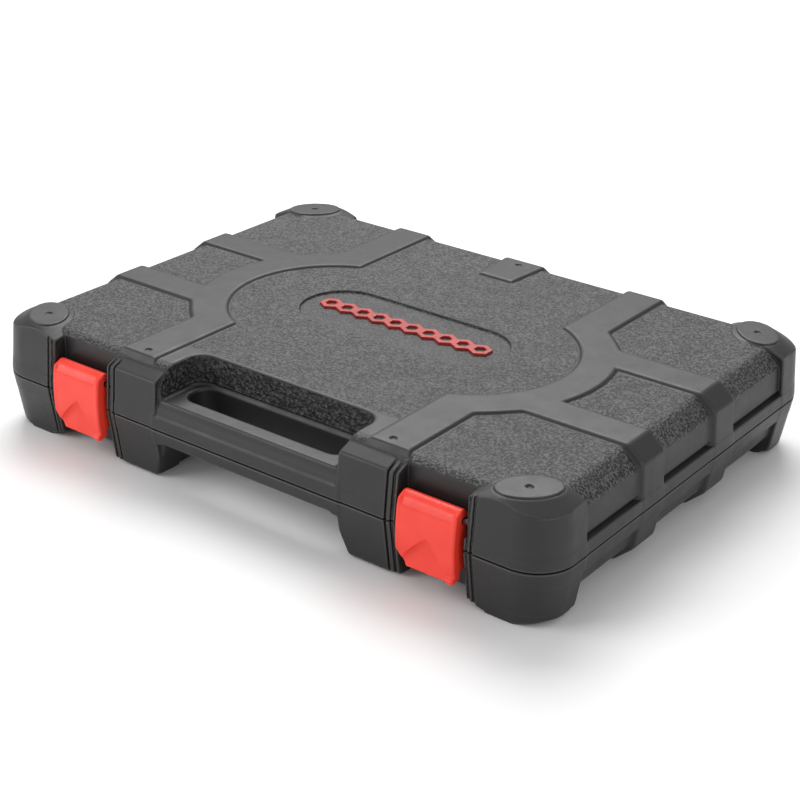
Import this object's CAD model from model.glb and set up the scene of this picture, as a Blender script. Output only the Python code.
"""A socket wrench set in its moulded case: looks, final meshes, materials, light and camera.

Lengths in this file are millimetres in the case's own frame: X along the long side, the carrying
handle towards -Y, Z up from the table. to_metres() brings them into the CAD frame.
"""
import math
from concurrent.futures import ThreadPoolExecutor
from functools import reduce
from types import SimpleNamespace

import bmesh
import bpy
import numpy as np
from mathutils import Matrix, Vector


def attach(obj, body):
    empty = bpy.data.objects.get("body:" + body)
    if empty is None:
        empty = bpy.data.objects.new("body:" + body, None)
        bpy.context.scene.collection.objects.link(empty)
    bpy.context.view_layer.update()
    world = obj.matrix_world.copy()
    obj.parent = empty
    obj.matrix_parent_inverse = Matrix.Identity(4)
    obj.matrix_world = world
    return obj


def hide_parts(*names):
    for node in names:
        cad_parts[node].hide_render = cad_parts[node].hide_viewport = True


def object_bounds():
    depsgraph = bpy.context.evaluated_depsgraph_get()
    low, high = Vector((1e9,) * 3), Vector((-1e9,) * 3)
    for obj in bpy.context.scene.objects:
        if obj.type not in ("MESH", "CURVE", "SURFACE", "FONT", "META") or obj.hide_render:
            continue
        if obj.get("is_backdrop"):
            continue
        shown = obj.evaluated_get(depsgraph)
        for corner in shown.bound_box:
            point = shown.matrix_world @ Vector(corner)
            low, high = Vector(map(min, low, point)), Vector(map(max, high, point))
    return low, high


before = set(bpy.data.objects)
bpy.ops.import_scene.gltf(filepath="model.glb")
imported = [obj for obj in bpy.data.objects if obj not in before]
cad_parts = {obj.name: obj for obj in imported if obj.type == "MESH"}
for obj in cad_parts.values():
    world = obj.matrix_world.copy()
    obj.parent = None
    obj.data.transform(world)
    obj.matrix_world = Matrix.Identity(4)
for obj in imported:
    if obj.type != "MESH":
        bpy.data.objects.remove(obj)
CAD_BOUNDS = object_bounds()

# ------------------------------------------------------------------ driving dimensions

MM = 0.001
ROW_SHIFT_Y = -6.0
FRONT_Y = -143.0
BACK_Y = 149.0
CENTRE_Y = (FRONT_Y + BACK_Y) / 2
HALF_X = 199.0
HALF_Y = (BACK_Y - FRONT_Y) / 2
CORNER_RADIUS = 24.0
PARTING_Z = 34.5
PARTING_GAP = 0.9
WALL = 3.0
FOLD_WALL = 1.2
PANEL_INSET = 2.5
RIB_HEIGHT = 2.0
RIB_DRAFT = 0.8

LID = SimpleNamespace(
    side=1, height=36.5, draft=0.08, band=7.7, panel_break=26.0, panel_chamfer=9.0,
    rib_break=27.9, rib_chamfer=9.5, corner_break=29.5, pad=(17.6, 11.6), cone=(32.0, 22.5),
    grain_from=24.5, tower_top=34.5, tower_break=28.2, tower_fold=14.5,
)
BASE = SimpleNamespace(
    side=-1, height=34.5, draft=0.16, band=10.0, panel_break=21.0, panel_chamfer=11.0,
    rib_break=23.6, rib_chamfer=10.5, corner_break=27.5, pad=(20.0, 15.0), cone=(34.0, 24.0),
    grain_from=28.5, tower_top=34.5, tower_break=33.0, tower_fold=3.0,
)
PAD_STEP = SimpleNamespace(height=1.1, width=0.8)
PANEL_SLOT = SimpleNamespace(height=2.4, edge=-4.4)

RING_CENTRE_X = 49.0
RING_RADII = (67.0, 88.0)
SPOKE_X = (78.0, 102.5)
SPOKE_FRONT_Y = -128.5
SIDE_RIB_Y = (28.8, 51.0)
RING_CUT = ((102.5, 70.0), (122.0, 51.0))
RING_CUT_REACH = 11.0
BLOCK_X = 148.0
BLOCK_Y = 110.0
CORNER_EDGE_CHAMFER = 3.0
PAD_CENTRE = (172.0, 125.0)
BACK_PAD = SimpleNamespace(half_width=12.0, front=102.0, flare=0.075)
RIVET = SimpleNamespace(x=88.2, y=-122.5)
BACK_RIVET_Y = 129.0
DIMPLE = SimpleNamespace(radius=2.2, depth=1.3)

TOWER = SimpleNamespace(inner=66.0, outer=98.0, back=-118.0)
LEDGE_DEPTH = 1.9
STRIP = SimpleNamespace(x=(99.3, 101.6), depth=0.3)
BAY_LIP = SimpleNamespace(x=(103.6, 105.0), depth=0.6)
BLOCK_GROOVES = ((149.2, 150.7), (152.0, 153.5))
BLOCK_GROOVE_DEPTH = 1.0
GRIP = SimpleNamespace(top=52.0, bottom=25.5, back=-128.0, roundness=13.0)
SLOT = SimpleNamespace(half_width=57.5, back=-107.5, radius=9.0)
RECESS = SimpleNamespace(half_width=66.5, back=-103.0, slope=0.17, radius=11.0, past_front=60.0)
RIM = SimpleNamespace(width=1.4, height=0.3, depth=2.0, overlap=1.0, side_back=-101.0)
COARSE = SimpleNamespace(depth=0.45, front=-138.0, z=(54.0, 68.3))
NOTCH = SimpleNamespace(half_width=62.0, flare=0.36, back=-104.5)
HANDLE_CLEARANCE = SimpleNamespace(half_width=76.0, back=-101.0)
BAY = SimpleNamespace(inner=105.0, outer=148.0, back=-132.0, back_wall=1.0)
LATCH_CENTRE_X = 126.5
LATCH_PIVOT = (-138.5, 49.0)
PIN_HOLE_RADIUS = 1.8
PIN_HOLE_START = 10.0
CATCH = SimpleNamespace(front=-137.2, bottom=23.2, edge=24.7, top=28.2, half_width=15.0, root=1.0)
HINGE = SimpleNamespace(centre=118.0, y=BACK_Y + 4.9, radius=4.6, length=14.0, gap=0.2,
                        web_root=BACK_Y - 4, web_gap=0.3)
OVERLAP = 2.0
EMBLEM_RECESS = SimpleNamespace(half_length=72.0, half_width=28.0, end_radius=27.5, centre_y=3.0,
                                depth=1.6)
LATCH = SimpleNamespace(
    front=-146.4, middle_z=34.5, bow=0.0046, back=-139.2, top=55.6, bottom=15.0, boss=4.6,
    facet=((145.6, 49.5), (138.0, 56.0)), neck=1.5, lip=(-144.9, 15.8, 2.0),
    cheek=2.6, cheek_back=-134.8, cheek_z=(20.5, 53.6), hook_y=(-143.0, -134.9),
    hook_z=(19.7, 22.3), half_width=18.6, corner=((-20.0, 27.0), (-10.5, 11.0)),
)
SCOOP = SimpleNamespace(apex_x=1.0, apex_z=37.0, spread_right=0.62, spread_left=0.9,
                        steepness=0.45, height=23.0, deepest=2.6)
EMBLEM = SimpleNamespace(pitch=12.4, last=4.5, wall=2.9, overlap=0.2, centre_y=4.0,
                         z=(67.2, 69.0), rounding=0.45)
TRAY = SimpleNamespace(deck=31.0, skin=1.5, gap=0.6, foot=5.9, clearance=0.8, corner=1.5)
LINER = SimpleNamespace(level=57.2, skin=1.6, gap=0.6, top=64.4, relief=4.0, slope=4.0,
                        panel_x=(118.0, 50.0), panel_y=(14.0, 96.0), panel_corner=14.0)

# Radii of the rounded edges, and of the fillets where one shape joins another.
ROUND = SimpleNamespace(
    plan=1.5, spoke_end=1.0, rib=1.4, rib_foot=1.2, panel=2.2, panel_join=1.0, slot=0.5,
    band=1.0, band_join=0.8, block=1.0, block_join=0.8, cone=0.5, pad=0.6, pad_join=0.4,
    tower=1.6, tower_side=1.0, tower_join=0.5, ledge=0.6, ledge_join=0.4,
    groove=0.4, fine_groove=0.3, grip=2.0, grip_under=2.5, recess=2.0, recess_edge=2.2,
    rim=0.5, rim_join=0.3, coarse=0.5, coarse_edge=0.4, notch=3.0, notch_edge=2.0,
    slot_edge=2.5, bay=0.6, bay_edge=0.8, emblem=0.4, dimple=0.4, hollow=2.0, hollow_edge=0.6,
    parting=0.8, hinge=0.6, hole=0.2, catch=0.4, skin=1.2,
)
LATCH_ROUND = SimpleNamespace(plate=1.2, boss=1.5, neck=1.0, hook=0.8, cheek=2.0, side=1.6,
                              scoop=0.5, scoop_left=3.0, scoop_right=0.4, corner=0.6)

# Tools lie flat in the tray. Large means half inch drive, small means quarter inch drive.
HALF_INCH = 12.7
QUARTER_INCH = 6.35
SQUARE_CLEARANCE = 0.3
SOCKET_GAP = 3.5
LARGE_ROW = SimpleNamespace(
    name="socket_half_inch", sizes=(32, 30, 27, 24, 22, 19, 17, 14, 13, 12, 10), drive=HALF_INCH,
    least=22.0, length=38.0, big_size=27, big_length=44.0, left=-177.0, y=58.0, z=30.0)
SMALL_ROW = SimpleNamespace(
    name="socket_quarter_inch", sizes=(14, 13, 12, 11, 10, 9, 8, 7, 6, 5, 4), drive=QUARTER_INCH,
    least=12.0, length=25.0, big_size=14, big_length=25.0, left=-184.0, y=-18.0, z=31.0)
SOCKET = SimpleNamespace(
    wall_share=1.25, wall=2.4, hex_share=0.8, hex_extra=4.0, longest_hex=0.5, drive_share=1.15,
    bore_share=0.42, groove_at=0.4, groove=(-0.9, -0.4, 1.6, 2.1), groove_depth=0.5, bevel=0.9,
    play=0.2, mouth=1.3, entry=0.7)
PLUG_SOCKETS = ((21, 118.0), (16, 91.0))
PLUG = SimpleNamespace(left=100.0, length=65.0, z=30.0)
BARS = (("extension_bar_250", HALF_INCH, 250.0, -182.0, 17.0),
        ("extension_bar_125", HALF_INCH, 125.0, 52.0, -17.0),
        ("extension_bar_100", QUARTER_INCH, 100.0, -58.0, -86.0),
        ("extension_bar_50", QUARTER_INCH, 50.0, 62.0, -86.0))
TOOL_Z = 31.0

# Proportions of a bar, as shares of its square.
BAR = SimpleNamespace(shaft=0.5, eye=0.86, collar=0.72, tip=1.1, hole_depth=1.2,
                      eye_groove=(0.8, 0.84, 1.0, 1.04), eye_end=(1.86, 1.96, 2.3),
                      collar_start=(1.2, 1.02, 0.95))
DRIVER = SimpleNamespace(left=-8.0, y=-52.0, grip_length=92.0, grip_radius=13.0, length=150.0,
                         shank=3.2, eye=4.6, bore=3.6, bore_from=0.45, hole_depth=9.0,
                         collar_length=8.0)
DRIVER_BUTT = ((0, 0.62), (1.2, 0.74), (7.36, 1))
DRIVER_WAIST = ((0.6, 1), (0.7, 0.82), (0.78, 0.68), (0.86, 0.7), (0.97, 0.8), (1, 0.72))
FLUTE = SimpleNamespace(count=6, depth=1.4, start=0.12, end=0.56, rings=12)
T_HANDLE = SimpleNamespace(centre=132.0, y=17.0, half_length=53.0, radius=3.2,
                           block=(8.0, 5.5, 5.5), square_length=9.0, play=0.4)
LARGE_RATCHET = SimpleNamespace(
    name="large_ratchet", at=(-158.0, 112.0, 32.5), square=HALF_INCH, square_length=15.5,
    head=21.0, half_height=9.0, neck=8.0, grip_start=108.0, grip_end=229.0, grip=14.0, gear=14.4,
    button=4.2, travel=2.0)
SMALL_RATCHET = SimpleNamespace(
    name="small_ratchet", at=(-169.0, -52.0, 31.0), square=QUARTER_INCH, square_length=8.5,
    head=13.0, half_height=5.75, neck=4.8, grip_start=58.0, grip_end=137.0, grip=10.0, gear=8.6,
    button=2.9, travel=1.5)

# Proportions of a ratchet: shares of its head radius, of half its head height, and of its square.
HEAD = SimpleNamespace(
    bevel=0.14, cover=0.8, seat=0.78, gear_floor=0.55, hub=0.72, dial=0.52, dial_height=0.17,
    lever_reach=(0.92, 0.3), lever_half_width=0.15, lever_height=0.8, button_well=0.1,
    neck_taper=(0.8, 0.2), square_room=0.9)
COVER_LIFT = 0.6
SELECTOR_LIFT = 0.9
WELL_GAP = 0.8
BUTTON_GAP = 0.4
GRIP_OUTLINE = ((0, 0.06, 0.3, 0.6, 0.9, 1), (0.86, 1, 0.84, 0.95, 1, 0.8))
GRIP_RIDGE = SimpleNamespace(pitch=4.8, depth=0.9, start=0.14, end=0.86, step=0.8)
GRIP_END = 2.5
NECK_GAP = 0.5
BIT_RACK = SimpleNamespace(left=-178.0, y=-84.0, length=96.0, half_width=7.5, bottom=17.0, top=33.0,
                           floor=2.0, holes=10, flats=6.7)
HEX_KEYS = ((6, 62.0, 22.0), (5, 56.0, 19.5), (4, 50.0, 17.0), (3, 44.0, 14.5))
KEY_RACK = SimpleNamespace(left=116.0, y=-116.0, z=31.0, step=(8.0, 10.5), bend=1.4, room=0.6,
                           depth=4.0)

# ------------------------------------------------------------------ distance fields


def smooth_max(a, b, radius):
    """The larger of two fields, with their meeting edge rounded."""
    gap = np.maximum(radius - np.abs(a - b), 0)
    return np.maximum(a, b) + gap * gap * (0.25 / radius)


def smooth_min(a, b, radius):
    """The smaller of two fields, with their meeting edge filleted."""
    return -smooth_max(-a, -b, radius)


def all_of(fields, radius):
    return reduce(lambda a, b: smooth_max(a, b, radius), fields)


def any_of(fields, radius):
    return reduce(lambda a, b: smooth_min(a, b, radius), fields)


def cut(field, tool, radius):
    """A field with a tool's inside taken out of it."""
    return smooth_max(field, -tool, radius)


def sloped(u, v, start, end):
    """Distance from the line through two (u, v) points, positive on its outer side."""
    du, dv = end[0] - start[0], end[1] - start[1]
    return ((u - start[0]) * dv - (v - start[1]) * du) / math.hypot(du, dv)


def rounded_rectangle(x, y, half_x, half_y, radius):
    qx = np.abs(x) - (half_x - radius)
    qy = np.abs(y) - (half_y - radius)
    outside = np.hypot(np.maximum(qx, 0), np.maximum(qy, 0))
    return outside + np.minimum(np.maximum(qx, qy), 0) - radius


def between(value, low, high):
    return np.maximum(low - value, value - high)


def case_edge(x, y):
    """Distance from the case's outline in plan, negative inside."""
    return rounded_rectangle(x, y - CENTRE_Y, HALF_X, HALF_Y, CORNER_RADIUS)


def wall_edge(half, x, y, h):
    """Distance from a casing half's outer wall, which leans in away from the parting plane."""
    return case_edge(x, y) + half.draft * h


def elliptic_cone(x, y, h, foot, pad, foot_h, pad_h):
    """An ellipse across a corner's diagonal that narrows from its foot to its pad."""
    dx, dy = np.abs(x) - PAD_CENTRE[0], np.abs(y - CENTRE_Y) - PAD_CENTRE[1]
    across = (dx - dy) / math.sqrt(2)
    along = (dx + dy) / math.sqrt(2)
    share = (h - foot_h) / (pad_h - foot_h)
    a = np.maximum(foot[0] + (pad[0] - foot[0]) * share, 2)
    b = np.maximum(foot[1] + (pad[1] - foot[1]) * share, 2)
    reach = np.sqrt((across / a) ** 2 + (along / b) ** 2) + 1e-6
    steep = np.hypot(across / a ** 2, along / b ** 2) / reach
    lean = (foot[0] - pad[0]) / (pad_h - foot_h) / a
    return (reach - 1) / np.hypot(np.maximum(steep, 0.02), lean)


def ring_band_plan(x, y):
    """The C shaped band with its spokes and side ribs, seen from above."""
    ax, ay = np.abs(x), np.abs(y)
    ring = np.hypot(ax - RING_CENTRE_X, y)
    spoke = ax - SPOKE_X[1]
    diagonal = np.maximum(sloped(ax, ay, *RING_CUT[::-1]), SIDE_RIB_Y[1] - RING_CUT_REACH - ay)
    side_rib = between(ay, *SIDE_RIB_Y)
    outer = any_of([spoke, diagonal, side_rib, ring - RING_RADII[1]], ROUND.plan)
    return all_of([SPOKE_X[0] - ax, RING_RADII[0] - ring, outer], ROUND.plan)


def front_band_plan(x, y):
    """The band's plan with its spokes ended above the towers."""
    return smooth_max(ring_band_plan(x, y), SPOKE_FRONT_Y - y, ROUND.spoke_end)


# ------------------------------------------------------------------ the casing halves


def height_in(half, z):
    """Height above the parting plane, outwards from it in either half."""
    return half.side * (z - PARTING_Z)


def casing_envelope(half, edge, h):
    """The surface that the raised ribs reach."""
    fold = sloped(edge, h, (0, half.rib_break), (-half.rib_chamfer, half.height))
    return all_of([edge, fold, h - half.height], ROUND.rib)


def casing_panels(half, edge, h):
    """The recessed panels above the full width band at the parting plane."""
    top = half.height - RIB_HEIGHT
    fold = sloped(edge, h, (-PANEL_INSET, half.panel_break),
                  (-PANEL_INSET - half.panel_chamfer, top))
    panel = all_of([edge + PANEL_INSET, fold, h - top], ROUND.panel)
    if half is LID:
        level = between(h, half.band, half.band + PANEL_SLOT.height)
        panel = cut(panel, np.maximum(level, PANEL_SLOT.edge - edge), ROUND.slot)
    band = smooth_max(edge, h - half.band, ROUND.band)
    return smooth_min(panel, band, ROUND.band_join)


def corner_blocks(half, x, y, edge, h):
    """A raised corner: the full wall below, a cone up to the pad above."""
    ax, ay = np.abs(x), np.abs(y - CENTRE_Y)
    chamfer = (BLOCK_X - ax + ay - HALF_Y + CORNER_EDGE_CHAMFER) / math.sqrt(2)
    block = all_of([BLOCK_X - ax, BLOCK_Y - ay, chamfer], ROUND.block)
    wall = smooth_max(edge, h - half.corner_break, ROUND.cone)
    shoulder = half.height - PAD_STEP.height
    foot = (half.pad[0] + PAD_STEP.width, half.pad[1] + PAD_STEP.width)
    cone = elliptic_cone(x, y, h, half.cone, foot, half.corner_break, shoulder)
    cone = all_of([cone, h - shoulder, edge], ROUND.cone)
    pad = elliptic_cone(x, y, h, foot, half.pad, half.corner_break, half.height)
    pad = all_of([pad, h - half.height, edge], ROUND.pad)
    cone = smooth_min(cone, pad, ROUND.pad_join)
    return smooth_max(smooth_min(wall, cone, ROUND.cone), block, ROUND.block)


def towers(half, x, y, edge, h):
    """The two blocks that carry the grip, with the grooved ledge towards each latch bay."""
    ax = np.abs(x)
    fold = sloped(edge, h, (0, half.tower_break), (-half.tower_fold, half.tower_top))
    front = all_of([edge, fold, h - half.tower_top], ROUND.tower)
    behind = y - TOWER.back
    tower = all_of([front, between(ax, TOWER.inner, TOWER.outer), behind], ROUND.tower_side)
    ledge = all_of([front + LEDGE_DEPTH, between(ax, TOWER.inner, BAY.inner), behind], ROUND.ledge)
    lines = [all_of([front + line.depth, between(ax, *line.x), behind], ROUND.ledge)
             for line in (STRIP, BAY_LIP)]
    return any_of([tower, ledge, *lines], ROUND.ledge_join)


def side_grooves(x, y, edge):
    """Upright channels beside the latch bays: deep by the tower, fine by the corner."""
    ax = np.abs(x)
    beside_tower = between(ax, TOWER.outer, BAY.inner)
    deep = all_of([beside_tower, y - TOWER.back, -edge - LEDGE_DEPTH], ROUND.groove)
    beside_block = reduce(np.minimum, [between(ax, *groove) for groove in BLOCK_GROOVES])
    fine = all_of([beside_block, y - BAY.back, -edge - BLOCK_GROOVE_DEPTH], ROUND.fine_groove)
    return np.minimum(deep, fine)


def back_pad(x, y):
    half_width = BACK_PAD.half_width + (y - BACK_PAD.front) * BACK_PAD.flare
    return all_of([np.abs(x) - half_width, BACK_PAD.front - y], ROUND.plan)


def grip(half, x, y, z, edge):
    """The carrying bar between the towers, rounded along its top."""
    across = all_of([edge, y - GRIP.back - OVERLAP, np.abs(x) - TOWER.inner - OVERLAP], ROUND.grip)
    if half is LID:
        return smooth_max(across, z - GRIP.top, GRIP.roundness)
    return smooth_max(across, GRIP.bottom - z, ROUND.grip_under)


def hand_recess(x, y, z):
    """The hand space above the grip: sloped walls, rounded rear corners, open to the front."""
    shrink = (PARTING_Z + LID.height - z) * RECESS.slope
    half_width = RECESS.half_width - shrink
    depth = (RECESS.back - shrink - FRONT_Y + RECESS.past_front) / 2
    centre = RECESS.back - shrink - depth
    plan = rounded_rectangle(x, y - centre, half_width, depth, RECESS.radius)
    return smooth_max(plan, GRIP.top - z, ROUND.recess)


def recess_rim(x, y, edge, h):
    """The smooth border of the hand recess, a little above the grained panel."""
    ax = np.abs(x)
    half_width = RECESS.half_width + RIM.width
    rear = RECESS.back + RIM.width
    around = rounded_rectangle(x, y - rear + HALF_Y, half_width, HALF_Y,
                               RECESS.radius + RIM.width)
    beside = np.maximum(ax - SPOKE_X[0] - RIM.overlap, y - RIM.side_back)
    plan = np.minimum(around, beside)
    level = LID.height - RIB_HEIGHT + RIM.height
    return all_of([plan, h - level, edge + LID.tower_fold, level - RIM.depth - h], ROUND.rim)


def coarse_pocket(x, y, z):
    """The coarsely grained part of the recess walls, a little sunk."""
    return all_of([hand_recess(x, y, z) - COARSE.depth, COARSE.front - y,
                   between(z, *COARSE.z)], ROUND.coarse)


def grip_slot(x, y):
    middle = (GRIP.back + SLOT.back) / 2
    return rounded_rectangle(x, y - middle, SLOT.half_width, (SLOT.back - GRIP.back) / 2,
                             SLOT.radius)


def hand_notch(x, y, z):
    """The finger space under the grip, flared downwards, open to the front and below."""
    half_width = NOTCH.half_width + (GRIP.bottom - z) * NOTCH.flare
    return all_of([np.abs(x) - half_width, y - NOTCH.back, z - GRIP.bottom], ROUND.notch)


def latch_bays(x, y):
    return all_of([between(np.abs(x), BAY.inner, BAY.outer), y - BAY.back], ROUND.bay)


def dimple(x, y, h, top, centre_x, centre_y):
    """A small round dent in a pad."""
    ball = (DIMPLE.radius ** 2 + DIMPLE.depth ** 2) / (2 * DIMPLE.depth)
    level = top + ball - DIMPLE.depth
    return np.sqrt((x - centre_x) ** 2 + (y - centre_y) ** 2 + (h - level) ** 2) - ball


def dimples(half, x, y, h):
    ax, ay = np.abs(x), np.abs(y - CENTRE_Y)
    marks = [dimple(ax, ay, h, half.height, *PAD_CENTRE)]
    if half is LID:
        marks.append(dimple(ax, y, h, half.height, RIVET.x, RIVET.y))
        marks.append(dimple(x, y, h, half.height, 0, BACK_RIVET_Y))
    return reduce(np.minimum, marks)


def casing_hollow(half, x, y, edge, h):
    """The inside of a casing half, clear of the handle and the latch bays."""
    floor = half.height - RIB_HEIGHT - WALL
    inset = PANEL_INSET + WALL
    fold = sloped(edge, h, (-inset, half.panel_break - FOLD_WALL),
                  (-inset - half.panel_chamfer - FOLD_WALL, floor))
    ax = np.abs(x)
    handle = [ax - HANDLE_CLEARANCE.half_width, y - HANDLE_CLEARANCE.back]
    bay = [between(ax, BAY.inner - WALL, BAY.outer + WALL), y - BAY.back - WALL - BAY.back_wall]
    hollow = [edge + inset, fold, h - floor]
    hollow, handle, bay = [all_of(fields, ROUND.hollow) for fields in (hollow, handle, bay)]
    return all_of([hollow, -handle, -bay], ROUND.hollow)


def knuckles(half, x, y, z):
    """The hinge eyes of one leaf, each on a short web from the back wall."""
    ax = np.abs(x) - HINGE.centre
    eye = np.hypot(y - HINGE.y, z - PARTING_Z) - HINGE.radius
    h = height_in(half, z)
    web = all_of([between(y, HINGE.web_root, HINGE.y), between(h, HINGE.web_gap, HINGE.radius)],
                 ROUND.hinge)
    reach = HINGE.length / 2 - HINGE.gap
    middle = np.abs(ax) - reach if half is LID else np.abs(np.abs(ax) - HINGE.length) - reach
    return smooth_max(np.minimum(eye, web), middle, ROUND.hinge)


def pin_hole(y, z, centre_y, centre_z):
    return np.hypot(y - centre_y, z - centre_z) - PIN_HOLE_RADIUS


def latch_pin_holes(x, y, z):
    """The holes in both side walls of each latch bay."""
    outwards = np.abs(np.abs(x) - LATCH_CENTRE_X)
    past_wall = (BAY.outer - BAY.inner) / 2 + OVERLAP
    return smooth_max(pin_hole(y, z, *LATCH_PIVOT), between(outwards, PIN_HOLE_START, past_wall),
                      ROUND.hole)


def emblem_recess(x, y, h):
    top = LID.height - RIB_HEIGHT
    plan = rounded_rectangle(x, y - EMBLEM_RECESS.centre_y, EMBLEM_RECESS.half_length,
                             EMBLEM_RECESS.half_width, EMBLEM_RECESS.end_radius)
    return smooth_max(plan, top - EMBLEM_RECESS.depth - h, ROUND.emblem)


def casing(half, x, y, z):
    """One half of the case as a distance field."""
    h = height_in(half, z)
    edge = wall_edge(half, x, y, h)
    envelope = casing_envelope(half, edge, h)
    steep = math.hypot(1, RIB_DRAFT)
    ribs = [(front_band_plan(x, y) + RIB_DRAFT * envelope) / steep]
    if half is LID:
        ribs.append((back_pad(x, y) + RIB_DRAFT * envelope) / steep)
    raised = smooth_max(reduce(np.minimum, ribs), envelope, ROUND.rib_foot)
    field = smooth_min(casing_panels(half, edge, h), raised, ROUND.panel_join)
    field = smooth_min(field, corner_blocks(half, x, y, edge, h), ROUND.block_join)
    field = cut(field, side_grooves(x, y, edge), ROUND.groove)
    field = smooth_min(field, towers(half, x, y, edge, h), ROUND.tower_join)
    field = smooth_min(field, grip(half, x, y, z, edge), ROUND.grip)
    if half is LID:
        field = smooth_min(field, recess_rim(x, y, edge, h), ROUND.rim_join)
        field = cut(field, hand_recess(x, y, z), ROUND.recess_edge)
        field = cut(field, coarse_pocket(x, y, z), ROUND.coarse_edge)
        field = cut(field, emblem_recess(x, y, h), ROUND.emblem)
    else:
        field = cut(field, hand_notch(x, y, z), ROUND.notch_edge)
    field = cut(field, grip_slot(x, y), ROUND.slot_edge)
    field = cut(field, latch_bays(x, y), ROUND.bay_edge)
    field = cut(field, dimples(half, x, y, h), ROUND.dimple)
    field = cut(field, casing_hollow(half, x, y, edge, h), ROUND.hollow_edge)
    field = smooth_max(field, PARTING_GAP / 2 - h, ROUND.parting)
    field = smooth_min(field, knuckles(half, x, y, z), ROUND.hinge)
    field = cut(field, pin_hole(y, z, HINGE.y, PARTING_Z), ROUND.hole)
    if half is LID:
        return cut(field, latch_pin_holes(x, y, z), ROUND.hole)
    return smooth_min(field, catches(x, y, z), ROUND.catch)


def catches(x, y, z):
    """The ledge on the base's bay wall that each latch hooks under."""
    slope = -sloped(y, z, (CATCH.front, CATCH.edge), (BAY.back, CATCH.top))
    sides = [CATCH.front - y, y - BAY.back - CATCH.root, CATCH.bottom - z, slope]
    ends = np.abs(np.abs(x) - LATCH_CENTRE_X) - CATCH.half_width
    return smooth_max(all_of(sides, ROUND.catch), ends, ROUND.catch)


# ------------------------------------------------------------------ latches, emblem and inner skins


def latch(across, y, z):
    """One latch: a bowed plate with a pivot boss, a thumb scoop, a flared lip and a hook behind."""
    front = LATCH.front + LATCH.bow * (z - LATCH.middle_z) ** 2
    facet = sloped(-y, z, *LATCH.facet)
    plate = all_of([front - y, y - LATCH.back, LATCH.bottom - z, z - LATCH.top, facet],
                   LATCH_ROUND.plate)
    boss = np.hypot(y - LATCH_PIVOT[0], z - LATCH_PIVOT[1]) - LATCH.boss
    neck = all_of([boss - LATCH.neck, between(y, LATCH.front + OVERLAP, LATCH_PIVOT[0] + OVERLAP)],
                  LATCH_ROUND.neck)
    lip = np.hypot(y - LATCH.lip[0], z - LATCH.lip[1]) - LATCH.lip[2]
    hook = all_of([between(y, *LATCH.hook_y), between(z, *LATCH.hook_z)], LATCH_ROUND.hook)
    body = any_of([plate, boss, neck], LATCH_ROUND.boss)
    body = any_of([body, lip, hook], LATCH_ROUND.neck)
    sides = np.abs(across) - LATCH.half_width
    cheeks = all_of([-sides - LATCH.cheek, front - y, y - LATCH.cheek_back,
                     between(z, *LATCH.cheek_z)], LATCH_ROUND.cheek)
    body = smooth_min(body, cheeks, LATCH_ROUND.neck)
    body = smooth_max(body, sides, LATCH_ROUND.side)
    body = cut(body, thumb_scoop(across, y, z, front), LATCH_ROUND.scoop)
    body = smooth_max(body, sloped(across, z, *LATCH.corner), LATCH_ROUND.corner)
    return cut(body, pin_hole(y, z, *LATCH_PIVOT), ROUND.hole)


def thumb_scoop(across, y, z, front):
    """A triangular hollow that widens towards the lip, soft on its left, crisp on its right."""
    drop = SCOOP.apex_z - z
    right = (across - SCOOP.apex_x - drop * SCOOP.spread_right) * SCOOP.steepness
    left = (SCOOP.apex_x - across - drop * SCOOP.spread_left) * SCOOP.steepness
    depth = SCOOP.deepest * np.sin(math.pi * np.clip(drop / SCOOP.height, 0, 1))
    level = y - front - depth
    level = smooth_max(level, left, LATCH_ROUND.scoop_left)
    return smooth_max(level, right, LATCH_ROUND.scoop_right)


def hexagon(x, y, apothem):
    ax, ay = np.abs(x), np.abs(y)
    return np.maximum(ax, ax / 2 + ay * math.sqrt(0.75)) - apothem


def emblem_rings(x, y, z):
    """A plain row of hexagonal rings with softened edges, joined side to side."""
    number = np.clip(np.round(x / EMBLEM.pitch - 0.5) + 0.5, -EMBLEM.last, EMBLEM.last)
    local = x - number * EMBLEM.pitch
    outer = hexagon(local, y - EMBLEM.centre_y, EMBLEM.pitch / 2 + EMBLEM.overlap)
    inner = hexagon(local, y - EMBLEM.centre_y, EMBLEM.pitch / 2 - EMBLEM.wall)
    return all_of([outer, -inner, between(z, *EMBLEM.z)], EMBLEM.rounding)


def pocket(x, y, z, well):
    """A rounded pocket, open upwards, from the six numbers that well() gives."""
    x0, x1, y0, y1, floor, rounding = well
    centre_x, centre_y = (x0 + x1) / 2, (y0 + y1) / 2
    plan = rounded_rectangle(x - centre_x, y - centre_y, (x1 - x0) / 2, (y1 - y0) / 2, TRAY.corner)
    return smooth_max(plan, floor - z, rounding)


def skin_of(solid, thickness):
    return np.maximum(solid, -solid - thickness)


def tool_tray(wells):
    """The tray: a thin skin that goes down round every tool, with a skirt inside the base."""
    def field(x, y, z):
        h = height_in(BASE, z)
        inside = casing_hollow(BASE, x, y, wall_edge(BASE, x, y, h), h) + TRAY.gap
        solid = smooth_max(inside, z - TRAY.deck, ROUND.skin)
        for hole in wells:
            solid = cut(solid, pocket(x, y, z, hole), ROUND.skin)
        return np.maximum(skin_of(solid, TRAY.skin), TRAY.foot - z)
    return field


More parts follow.
